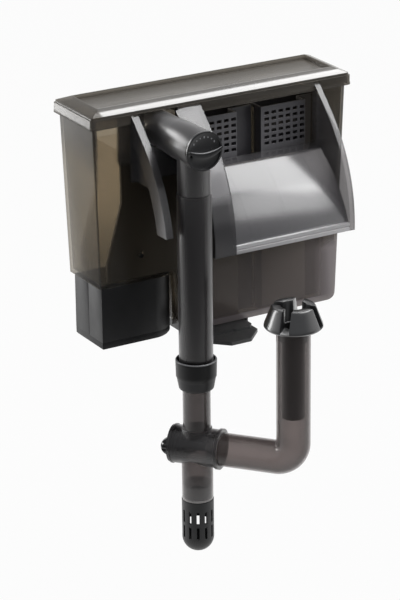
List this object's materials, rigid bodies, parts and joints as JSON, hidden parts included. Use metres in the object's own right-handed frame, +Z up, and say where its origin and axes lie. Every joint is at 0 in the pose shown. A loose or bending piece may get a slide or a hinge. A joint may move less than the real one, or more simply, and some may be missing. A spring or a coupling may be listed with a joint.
{
  "type": "hang-on aquarium filter with surface skimmer",
  "caption": "Hang-on aquarium power filter: smoked case with a pump below, waterfall outlet over the rim, telescopic intake and swivelling surface skimmer.",
  "frame": {"origin": "middle of the rim seat: the underside of the bridge that rests on the tank's glass rim", "axes": "+X to the right along the tank wall as seen from inside the tank, +Y away from the tank towards the filter's back, +Z up"},
  "size_m": [0.2408, 0.1993, 0.3679],
  "materials": {
    "smoked_case": "translucent smoke-brown moulding, smooth",
    "smoked_lid": "translucent smoke-brown moulding, bright polished border",
    "smoked_hood": "translucent smoke-grey moulding, glossy",
    "smoked_chute": "translucent smoke-grey moulding, wet-look gloss",
    "tube_smoke": "dark smoke tube, semi-gloss",
    "black_plastic": "black moulding, fine texture",
    "black_gloss": "black moulding, glossy",
    "cassette_plastic": "charcoal moulding",
    "rubber": "black elastomer",
    "ceramic_shaft": "ground white ceramic",
    "magnet": "plastic-bonded ferrite, matt",
    "impeller_plastic": "natural white moulding",
    "core_steel": "laminated electrical steel",
    "coil": "enamelled copper winding on a moulded bobbin",
    "screw_steel": "stainless steel",
    "foam": "open-cell filter foam",
    "carbon": "carbon granules in a fabric pad"
  },
  "bodies": {
    "filter": {"filter_case": "smoked_case", "hood_left": "smoked_hood", "hood_right": "smoked_hood", "waterfall_chute": "smoked_chute", "intake_elbow": "tube_smoke", "suction_pipe": "black_plastic", "knob_seal": "rubber", "main_tube": "tube_smoke", "tube_collar": "black_gloss", "collar_seal": "rubber", "pump_shroud": "black_plastic", "volute_cover": "black_plastic", "upper_bush": "rubber", "lower_bush": "rubber", "impeller_shaft": "ceramic_shaft", "pump_housing": "black_gloss", "pump_bottom_cover": "black_gloss", "cover_screws": "screw_steel", "stator_core": "core_steel", "stator_coil": "coil", "pump_gasket": "rubber", "cable_gland": "rubber", "foot_rail": "black_plastic"},
    "lid": {"lid": "smoked_lid"},
    "media_left": {"cassette_left": "cassette_plastic", "foam_left": "foam", "carbon_left": "carbon"},
    "media_right": {"cassette_right": "cassette_plastic", "foam_right": "foam", "carbon_right": "carbon"},
    "flow_control": {"flow_knob": "black_gloss", "flow_valve_drum": "black_plastic"},
    "tube_extension": {"extension_tube": "tube_smoke"},
    "skimmer": {"skimmer_tee": "tube_smoke", "tee_seal": "rubber", "skimmer_arm": "tube_smoke", "riser_guide": "black_plastic", "lower_tube": "tube_smoke", "strainer": "black_plastic"},
    "skimmer_float": {"float_tube": "black_plastic", "skimmer_crown": "black_gloss"},
    "skimmer_valve": {"tee_knob": "black_gloss", "tee_valve": "black_plastic"},
    "rotor": {"impeller": "impeller_plastic", "rotor_magnet": "magnet"},
    "foot": {"leveller_foot": "black_plastic"}
  },
  "joints": [
    {"name": "lid_lift", "type": "slide", "parent": "filter", "child": "lid", "axis": [0, 0, 1], "range_m": [0, 0.24]},
    {"name": "cassette_left_lift", "type": "slide", "parent": "filter", "child": "media_left", "axis": [0, 0, 1], "range_m": [0, 0.2]},
    {"name": "cassette_right_lift", "type": "slide", "parent": "filter", "child": "media_right", "axis": [0, 0, 1], "range_m": [0, 0.2]},
    {"name": "flow_knob_turn", "type": "hinge", "parent": "filter", "child": "flow_control", "pos_m": [-0.0597, -0.063, 0.0394], "axis": [0, 1, 0], "range_deg": [0, 90]},
    {"name": "tube_extend", "type": "slide", "parent": "filter", "child": "tube_extension", "axis": [0, 0, -1], "range_m": [-0.01, 0.04]},
    {"name": "skimmer_swivel", "type": "hinge", "parent": "tube_extension", "child": "skimmer", "pos_m": [-0.0597, -0.046, -0.214], "axis": [0, 0, 1], "range_deg": [-110, 40]},
    {"name": "float_rise", "type": "slide", "parent": "skimmer", "child": "skimmer_float", "axis": [0, 0, 1], "range_m": [0, 0.02]},
    {"name": "skimmer_valve_turn", "type": "hinge", "parent": "skimmer", "child": "skimmer_valve", "pos_m": [-0.0597, -0.046, -0.214], "axis": [0.6388, -0.7694, 0], "range_deg": [0, 90]},
    {"name": "impeller_spin", "type": "hinge", "parent": "filter", "child": "rotor", "pos_m": [-0.0597, 0.03156, -0.0821], "axis": [0, 0, 1], "continuous": true},
    {"name": "foot_slide", "type": "slide", "parent": "filter", "child": "foot", "axis": [0, -1, 0], "range_m": [-0.015, 0.012]}
  ],
  "couplings": [
    {"joint": "cassette_left_lift", "follows": "lid_lift", "ratio": 0.8},
    {"joint": "cassette_right_lift", "follows": "lid_lift", "ratio": 0.8}
  ]
}
